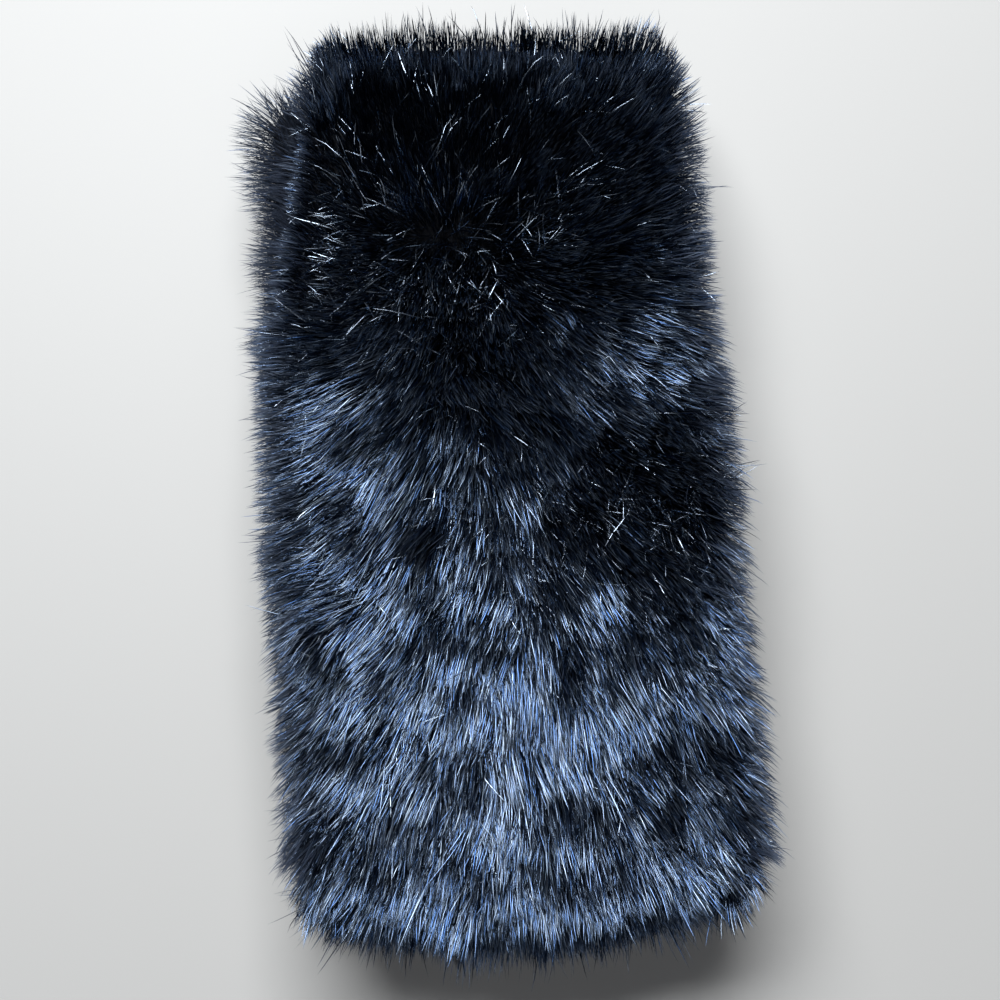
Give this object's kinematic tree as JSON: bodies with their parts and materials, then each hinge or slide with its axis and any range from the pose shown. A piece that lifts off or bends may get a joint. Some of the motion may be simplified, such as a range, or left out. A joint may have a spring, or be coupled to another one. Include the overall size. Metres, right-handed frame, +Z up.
{
  "type": "faux fur scarf",
  "caption": "Long-pile faux fur scarf, folded in thirds and lying flat, with its dark pile combed outward over the folds.",
  "frame": {"origin": "centre of the folded scarf's box, on the surface that it lies on", "axes": "+X across the scarf's width, to the picture's right; +Y along its length, from the near turn to the free end, which is up in the picture; +Z up from the surface"},
  "size_m": [0.1824, 0.3292, 0.0688],
  "materials": {
    "upper_fur": "long straight faux fur pile, blue-black with a cool sheen",
    "turn_fur": "the same pile, fanned out over the fold, with a blue-grey sheen",
    "under_fur": "the same pile, pressed between the layers, a little browner at its tips"
  },
  "bodies": {
    "root": {"upper_stretch": "upper_fur", "near_turn": "turn_fur", "under_layers": "under_fur"}
  },
  "joints": []
}
